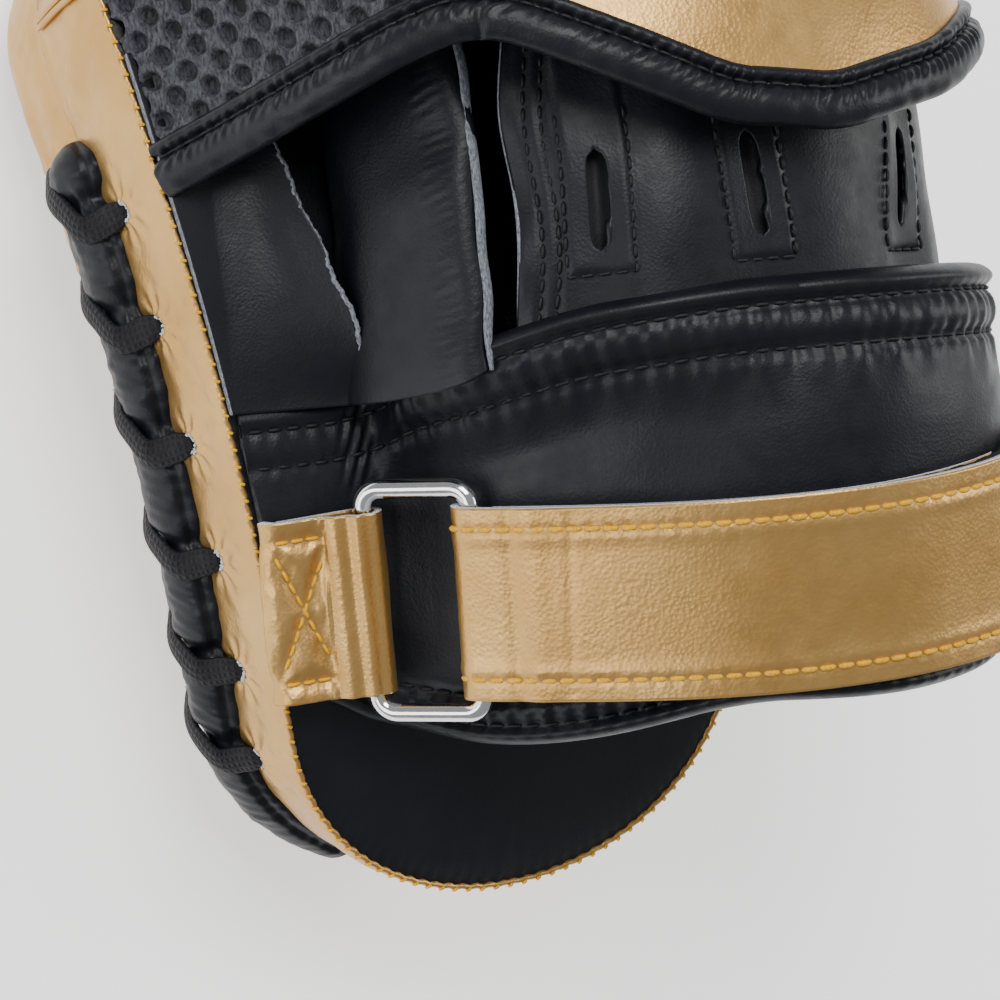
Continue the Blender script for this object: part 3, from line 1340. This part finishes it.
@dataclass
class ThumbRoom:
    """The padded wall beside the index finger, the cover over the thumb, and the palm pad under the hand."""

    wall: tuple = ((-33.5, 1), (-40, 1), (-43.5, 8), (-40.5, 23), (-34.5, 36), (-31.8, 38.6), (-28.6, 38.9),
                   (-28.6, 36), (-31.2, 22), (-33.2, 8))
    end_s: float = 62.0

    def build(self) -> None:
        """Builds the three pieces."""
        ring = np.array([*self.wall, self.wall[0]])
        loop = even(spline(ring, np.linspace(0, 1, 500)), 97)[:-1]
        x, h = np.broadcast_to(loop[None, :, 0], (150, 96)), np.broadcast_to(loop[None, :, 1], (150, 96))
        begin = cuff_front(loop[:, 0])
        s = begin + (self.end_s - begin) * np.linspace(0, 1, 150)[:, None]
        soft = 0.55 * smooth_noise((150, 96), (5, 2), 71)
        wrinkle = 0.28 * smooth_noise((150, 96), (46, 10), 72) * bell(h - 31, 5) * (x > -37)
        shift = 1.2 * np.sin((s - 10) / 30)
        grid = BEND.place(x + shift + soft, s, np.maximum(h + wrinkle + 0.5 * soft, 0.9))
        piece = surface("thumb_wall_leather", capped(grid), wrap_columns=True)
        top = (loop[:, 1] > 37.2) & (loop[:, 0] > -32.2)
        piece.data.polygons.foreach_set("material_index", np.tile(top, 151).astype(np.int32))
        dress(recalculated(piece), [Finish.BLACK, Finish.RAW_GREY], nodes=("thumb_wall",))
        self.cover()
        self.raw_edges()
        self.palm()

    def cover_edge(self, s: Array) -> Array:
        """Where the cover's raw edge lies across the mitt, at s."""
        return np.interp(s, [-14, -5, 10, 30, 56], [-40.6, -43.2, -47.6, -53.0, -58]) + 0.25 * np.sin(s / 2.3)

    def cover_rise(self, x: Array) -> Array:
        """The cover's rise from its seam, as a power curve of x."""
        return np.clip((x + 68) / 24, 0, 1) ** 1.5

    def cover_height(self, x: Array, s: Array, foot: float) -> Array:
        """The cover's height, from its foot by the seam and lower at the cuff."""
        return foot + 14 * self.cover_rise(x) * (1 - 0.55 * bell(s + 14.4, 11))

    def cover(self) -> None:
        """Makes the thumb cover: flat by the seam, then rising to its raw edge."""
        s = np.linspace(-14.4, 60, 150)[:, None]
        share = np.linspace(0, 1, 90)[None]
        left = thumb_outline(s) + 0.9
        x = left + (self.cover_edge(s) - left) * share
        uneven = 0.5 * smooth_noise((150, 90), (3, 2), 73)
        h = self.cover_height(x, s, 1.9) + uneven * self.cover_rise(x) ** 0.5
        piece = surface("thumb_cover_leather", BEND.place(x, s, h), flip=True)
        dress(thicken(piece, 1.5, -1), [Finish.BLACK, Finish.RAW_GREY], nodes=("thumb_cover",))

    def raw_edges(self) -> None:
        """Makes the pale cut edges: a thin one on the cover, and a wider strip along the wall's top."""
        s = np.linspace(-13.8, 58, 200)
        edge = self.cover_edge(s)
        h = self.cover_height(edge, s, 1.55)
        wobble = 0.15 * np.sin(s * 1.7) + 0.1 * np.sin(s * 4.1)
        cover = BEND.place(edge + 0.25 + wobble, s, h + 0.15)
        s = np.linspace(float(cuff_front(np.array(-29.0))), 60, 200)
        shift = 1.2 * np.sin((s - 10) / 30)
        wall = BEND.place(-28.4 + shift + 0.2 * np.sin(s / 3.1), s, 39.0 + 0.2 * np.sin(s / 2.2))
        glove = GloveBack()
        s = np.linspace(-2, 60, 200)
        reach = glove.edge_reach(s)
        flap = glove.at(reach, s, glove.relief(reach[:, None], s[:, None])[:, 0] - 0.5)
        dress(tubes("raw_leather_edges", [cover, flap], 0.5, 8), [Finish.RAW_GREY])
        dress(tubes("raw_wall_strip", [wall], 1.35, 10, 0.45), [Finish.RAW_GREY])

    def palm(self) -> None:
        """Makes the palm pad: a dome whose height falls as a power of the distance from its middle."""
        share = np.concatenate([[0.0], np.linspace(0.03, 1, 40)])[:, None]
        angle = np.linspace(0, 2 * np.pi, 120, endpoint=False)[None]
        h = 0.8 + 11 * (1 - share ** 3.2) + 0 * angle
        grid = BEND.place(30 + 29.4 * share * np.cos(angle), 22 + 23.4 * share * np.sin(angle), h)
        piece = surface("palm_pad_leather", grid, wrap_columns=True)
        dress(thicken(piece, 0.8, -1, rim=False), [Finish.LINING], nodes=("palm_pad",))


# ---------------------------------------------------------------- the hood

@dataclass
class Hood:
    """The hood over the fingertips: air mesh on the thumb side, gold leather on the other, lined and bound."""

    arches: tuple = (
        (0, ((-69, 0), (-61, 24), (-41, 53), (-6, 71), (34, 78), (66, 73), (90, 53), (94, 28), (74, 0))),
        (50, ((-77, 0), (-66, 25), (-43, 54), (-6, 72), (32, 78), (64, 73), (89, 53), (94, 28), (78, 0))),
        (85, ((-80, 0), (-70, 22), (-46, 47), (-12, 62), (22, 67), (52, 62), (76, 44), (86, 22), (80, 0))),
        (105, ((-67, 0), (-60, 15), (-40, 34), (-12, 45), (16, 48), (40, 43), (60, 30), (68, 14), (66, 0))),
        (116, ((-45, 0), (-41, 6), (-28, 13), (-10, 18), (6, 19), (22, 17), (36, 11), (44, 5), (46, 0))),
        (123, ((-30, 0), (-27, 0.5), (-18, 1), (-8, 1.4), (2, 1.6), (12, 1.4), (22, 1), (29, 0.5), (31, 0))))
    edge: tuple = ((-82, 28), (-61, 38.6), (-46, 45), (-35, 47), (-14, 37), (8, 27.5), (34, 25), (66, 31), (92, 42),
                   (104, 47))
    binding: float = 9.6
    hole_pitch: float = 5.5
    hole_row: float = 4.1
    tip: float = 122.0

    def __post_init__(self) -> None:
        """Tables the hood's arches once: evenly along each arch, and smoothly from arch to arch."""
        self.table_s = np.linspace(0, self.tip, 245)
        keys = np.array([s for s, _ in self.arches], float)
        lines = np.array([even(spline(np.array(arch, float), np.linspace(0, 1, 400)), 301)
                          for _, arch in self.arches])
        slopes = np.gradient(lines, keys, axis=0)
        low = np.clip(np.searchsorted(keys, self.table_s, side="right") - 1, 0, len(keys) - 2)
        width = (keys[low + 1] - keys[low])[:, None, None]
        t = ((self.table_s - keys[low]) / (keys[low + 1] - keys[low]))[:, None, None]
        self.table = ((2 * t ** 3 - 3 * t ** 2 + 1) * lines[low] + (t ** 3 - 2 * t ** 2 + t) * width * slopes[low]
                      + (3 * t ** 2 - 2 * t ** 3) * lines[low + 1] + (t ** 3 - t ** 2) * width * slopes[low + 1])
        near_foot = bell(np.linspace(0, 1, 301) * 185, 7)
        flare = np.clip(thumb_outline(self.table_s) + 1.0 - self.table[:, 0, 0], -8, 0)
        self.table[..., 0] += flare[:, None] * near_foot
        self.table[..., 1] += 0.5 * near_foot

    def flat(self, share: Array, s: Array) -> tuple[Array, Array]:
        """The hood's x and h, by share of the arch from the thumb side and s."""
        share, s = np.broadcast_arrays(np.asarray(share, float), np.asarray(s, float))
        a = np.clip(s / self.tip * 244, 0, 243.999)
        b = np.clip(share * 300, 0, 299.999)
        i, j = a.astype(int), b.astype(int)
        p, q = (a - i)[..., None], (b - j)[..., None]
        table = self.table
        value = ((1 - p) * ((1 - q) * table[i, j] + q * table[i, j + 1])
                 + p * ((1 - q) * table[i + 1, j] + q * table[i + 1, j + 1]))
        return value[..., 0], value[..., 1]

    def place(self, share: Array, s: Array, lift: Array = 0.0) -> Array:
        """Points over the hood's surface, lifted along its normals."""
        share, s = np.broadcast_arrays(np.asarray(share, float), np.asarray(s, float))
        point = lambda a, b: BEND.place(*((lambda f: (f[0], b, f[1]))(self.flat(a, b))))
        here = point(share, s)
        across = point(np.clip(share + 0.004, 0, 1), s) - point(np.clip(share - 0.004, 0, 1), s)
        ahead = point(share, np.clip(s + 1, 0, self.tip)) - point(share, np.clip(s - 1, 0, self.tip))
        normal = np.cross(across, ahead)
        normal /= np.maximum(np.linalg.norm(normal, axis=-1, keepdims=True), 1e-9)
        return here + normal * np.asarray(lift, float)[..., None]

    def edge_s(self, share: Array) -> Array:
        """Where the bound edge lies, by share of the arch, found by reading its line at x over and over."""
        s = np.full(np.shape(share), 35.0)
        line = np.array(self.edge, float)
        for _ in range(12):
            x, _ = self.flat(share, s)
            rounded = [np.interp(x + shift, line[:, 0], line[:, 1]) for shift in (-5, -2.5, 0, 2.5, 5)]
            s = 0.5 * s + 0.5 * np.mean(rounded, 0)
        return s

    def split(self, s: Array) -> Array:
        """Share of the arch where the mesh meets the leather, at s."""
        shares = np.linspace(0, 0.6, 400)
        x, _ = self.flat(shares[None], np.asarray(s, float).reshape(-1, 1))
        wanted = np.interp(np.asarray(s, float).reshape(-1), [45, 115], [-33, -14])
        return np.array([np.interp(w, row, shares) for w, row in zip(wanted, x)]).reshape(np.shape(s))

    def panel(self, low: Array, high: Array, rows: int, columns: int) -> tuple[Array, Array]:
        """A grid of share and s between two lines on the hood, from the binding to the tip.

        Args:
            low, high: functions of s that give the share at each side.
            rows, columns: size of the grid.

        Returns:
            The grids of share and s.
        """
        t = np.linspace(0, 1, rows)[:, None]
        q = np.linspace(0, 1, columns)[None]
        s = np.broadcast_to(50 + 70 * t, (rows, columns)).copy()
        share = np.zeros((rows, columns))
        for _ in range(3):
            share = low(s) + (high(s) - low(s)) * q
            begin = self.edge_s(share[0]) + self.binding - 1.5
            s = begin[None] + (self.tip - begin[None]) * t
        return share, s

    def mesh(self) -> None:
        """Makes the air mesh: a sheet with oval cells in staggered rows, sunk as a steep step inside each."""
        share, s = self.panel(lambda v: 0 * v, self.split, 230, 250)
        arch = 185.0 - 0.9 * np.clip(s - 60, 0, 99)
        u, v = share * arch / self.hole_pitch, s / self.hole_row
        best = np.full(s.shape, 9.0)
        for shift in (0, 1):
            row = np.round((v - shift) / 2) * 2 + shift
            column = np.round(u - shift / 2) + shift / 2
            best = np.minimum(best, np.hypot((u - column) * self.hole_pitch / 1.3,
                                             (v - row) * self.hole_row / 1.8))
        hole = sigmoid((1.0 - best) * 11)
        rim = bell(best - 1.35, 0.28)
        rng = np.random.default_rng(81)
        fluff = rng.uniform(-0.1, 0.1, s.shape)
        lift = -0.3 - 2.4 * hole + 0.35 * rim + fluff * (1 - hole) + 0.2 * smooth_noise(s.shape, (3, 3), 82)
        points = self.place(share, s, lift)
        piece = surface("hood_air_mesh", points, flip=True)
        deep = hole.reshape(-1)[grid_faces(230, 250)].mean(1) > 0.62
        piece.data.polygons.foreach_set("material_index", deep.astype(np.int32))
        dress(piece, [Finish.YARN, Finish.BACKING], nodes=("hood_mesh_panel",))

    def leather(self) -> None:
        """Makes the gold panel, swelled a little, with its edge turned under at the mesh."""
        share, s = self.panel(self.split, lambda v: 0 * v + 1, 120, 240)
        side = np.linspace(0, 1, 240)[None]
        lift = 0.5 * np.sin(np.pi * np.clip(side * 8, 0, 0.5)) + 0.25 * smooth_noise((120, 240), (4, 5), 91)
        piece = surface("hood_gold_panel", self.place(share, s, lift - 0.2), flip=True)
        dress(thicken(piece, 1.3, -1, rim=False), [Finish.GOLD], nodes=("hood_leather_panel",))

    def lining(self) -> None:
        """Makes the lining, a padded layer inside both panels."""
        share, s = self.panel(lambda v: 0 * v + 0.004, lambda v: 0 * v + 0.996, 90, 200)
        begin = self.edge_s(share[0]) + 1.2
        s = begin[None] + (self.tip - 1 - begin[None]) * np.linspace(0, 1, 90)[:, None]
        lift = -3.4 - 0.25 * smooth_noise(s.shape, (6, 8), 95)
        piece = surface("hood_inner_lining", self.place(share, s, lift), flip=True)
        dress(thicken(piece, 1.0, 0, rim=False), [Finish.LINING], nodes=("hood_lining",))

    def bound_edge(self) -> None:
        """Makes the bound edge: a fat roll, a stitched groove and a thin roll, carried along the hood's edge."""
        count = 620
        share = np.linspace(0.003, 0.997, count)
        s = self.edge_s(share)
        middle = self.place(share, s, 0 * s)
        up = self.place(share, s, 0 * s + 1) - middle
        inward = unit(np.cross(up, headings(middle)))
        inward *= np.sign((inward * (self.place(share, s + 2, 0 * s) - middle)).sum(1, keepdims=True))
        outer = np.array([(-0.4, -2.2), (-0.9, -0.4), (-0.2, 1.3), (1.6, 2.4), (4.0, 2.7), (6.0, 2.0), (7.0, 0.9),
                          (7.5, 0.15), (8.1, 0.7), (9.0, 1.55), (10.0, 1.5), (10.8, 0.5), (10.6, -0.9), (7.5, -3.6),
                          (3.5, -4.4), (0.8, -3.8), (-0.4, -2.2)])
        loop = even(spline(outer, np.linspace(0, 1, 500)), 73)[:-1]
        run = run_of(middle)[:, None]
        b, n = loop[None, :, 0], loop[None, :, 1]
        outside = (n > 0).astype(float)
        uneven = 0.6 + 0.4 * smooth_noise((count, 72), (40, 1), 97)
        pucker = 0.42 * np.cos(2 * np.pi * (run - 0.55 * b) / 2.6 + 1.5 * smooth_noise((count, 72), (24, 1), 98))
        pucker = pucker * uneven * (bell(b - 5.9, 1.8) + 0.5 * bell(b - 8.6, 1.0)) * outside
        pucker = pucker + 0.14 * smooth_noise((count, 72), (60, 3), 99) * outside
        stitch = -0.35 * np.cos(2 * np.pi * run / 4.1) * bell(b - 7.5, 1.0) * outside
        x, _ = self.flat(share, s)
        joint = -0.8 * bell(x[:, None] + 35, 0.55) * outside * (b < 8)
        size = (n + pucker + stitch + joint)[..., None]
        grid = middle[:, None] + inward[:, None] * (b + 0 * n + 0 * run)[..., None] + up[:, None] * size
        piece = recalculated(surface("hood_bound_edge", capped(grid), wrap_columns=True))
        dress(piece, [Finish.BLACK], nodes=("hood_binding",))
        seam = middle + inward * 7.5 + up * 0.25
        dress(stitches("hood_stitching", [(seam[6:-6], up[6:-6])], 4.1, 0.45, rise=0.45),
              [Finish.BLACK_THREAD])

    def build(self) -> None:
        """Builds the panels, the lining and the bound edge."""
        self.mesh()
        self.leather()
        self.lining()
        self.bound_edge()


# ---------------------------------------------------------------- the studio

@dataclass
class Studio:
    """A pale floor, soft lights, and a camera over the thumb side."""

    target: tuple[float, float, float] = (9.59, -20.0, 94.02)
    swing: float = 34.0
    roll: float = -5.5
    distance: float = 800.0
    aside: tuple[float, float] = (-29.8, -20.2)
    lens: float = 138.2

    def camera(self) -> None:
        """Makes the camera: it looks down and across from the thumb side, turned a little about its axis."""
        swing, roll = math.radians(self.swing), math.radians(self.roll)
        ahead = Vector((math.sin(swing), 0, -math.cos(swing)))
        flat = Vector((math.cos(swing), 0, math.sin(swing)))
        rise = flat.cross(ahead)
        right = flat * math.cos(roll) + rise * math.sin(roll)
        up = rise * math.cos(roll) - flat * math.sin(roll)
        spot = Vector(self.target) - ahead * self.distance
        aim = Vector(self.target) + right * self.aside[0] + up * self.aside[1]
        back = (spot - aim).normalized()
        side = (right - back * right.dot(back)).normalized()
        lens = bpy.data.cameras.new("camera")
        lens.lens = self.lens
        lens.clip_start = 0.05
        camera = bpy.data.objects.new("camera", lens)
        turn = Matrix((side, back.cross(side), back)).transposed()
        camera.matrix_world = Matrix.Translation(spot * MM) @ turn.to_4x4()
        bpy.context.scene.collection.objects.link(camera)
        bpy.context.scene.camera = camera

    def floor(self) -> None:
        """Makes the pale floor."""
        x, y = np.meshgrid(np.linspace(-3000, 3000, 4), np.linspace(-3000, 3000, 4), indexing="ij")
        piece = mesh_object("floor", np.stack([x, y, 0 * x - 0.4], -1).reshape(-1, 3), grid_faces(4, 4))
        shade = Shade("pale_floor").put(Base_Color=(0.97, 0.97, 0.97, 1), Roughness=0.8, Emission_Color=(1, 1, 1, 1),
                                         Emission_Strength=0.9)
        piece.data.materials.append(shade.material)

    def light(self, name: str, spot: tuple[float, float, float], size: tuple[float, float], power: float) -> None:
        """Adds a rectangular soft light that faces the mitt."""
        lamp = bpy.data.lights.new(name, "AREA")
        lamp.shape = "RECTANGLE"
        lamp.size, lamp.size_y = size
        lamp.energy = power
        item = bpy.data.objects.new(name, lamp)
        away = Vector(spot) - Vector((0, 0, 0.07))
        item.matrix_world = Matrix.Translation(spot) @ away.to_track_quat("Z", "Y").to_matrix().to_4x4()
        bpy.context.scene.collection.objects.link(item)

    def build(self) -> None:
        """Builds the floor, the lights and the camera."""
        self.floor()
        world = bpy.data.worlds.new("soft_white")
        world.use_nodes = True
        world.node_tree.nodes["Background"].inputs["Color"].default_value = (1, 1, 1, 1)
        world.node_tree.nodes["Background"].inputs["Strength"].default_value = 0.34
        bpy.context.scene.world = world
        self.light("key", (-0.25, 0.55, 1.05), (0.7, 0.5), 11)
        self.light("side", (-0.95, -0.15, 0.45), (0.5, 0.7), 4)
        self.light("far_side", (0.9, 0.1, 0.7), (0.4, 0.8), 4.5)
        self.camera()


def main() -> None:
    """Builds every sub-assembly in order, and the studio."""
    logging.basicConfig(level=logging.INFO, format="%(name)s %(message)s")
    pad = Pad()
    for maker in (pad, Lacing(pad=pad), Cuff(), Closure(), GloveBack(), ThumbRoom(), Hood(), Studio()):
        LOG.info("building %s", type(maker).__name__)
        maker.build()
    LOG.info("%d pieces built", len(BUILT))


if __name__ == "__main__":
    main()
    bpy.context.view_layer.update()
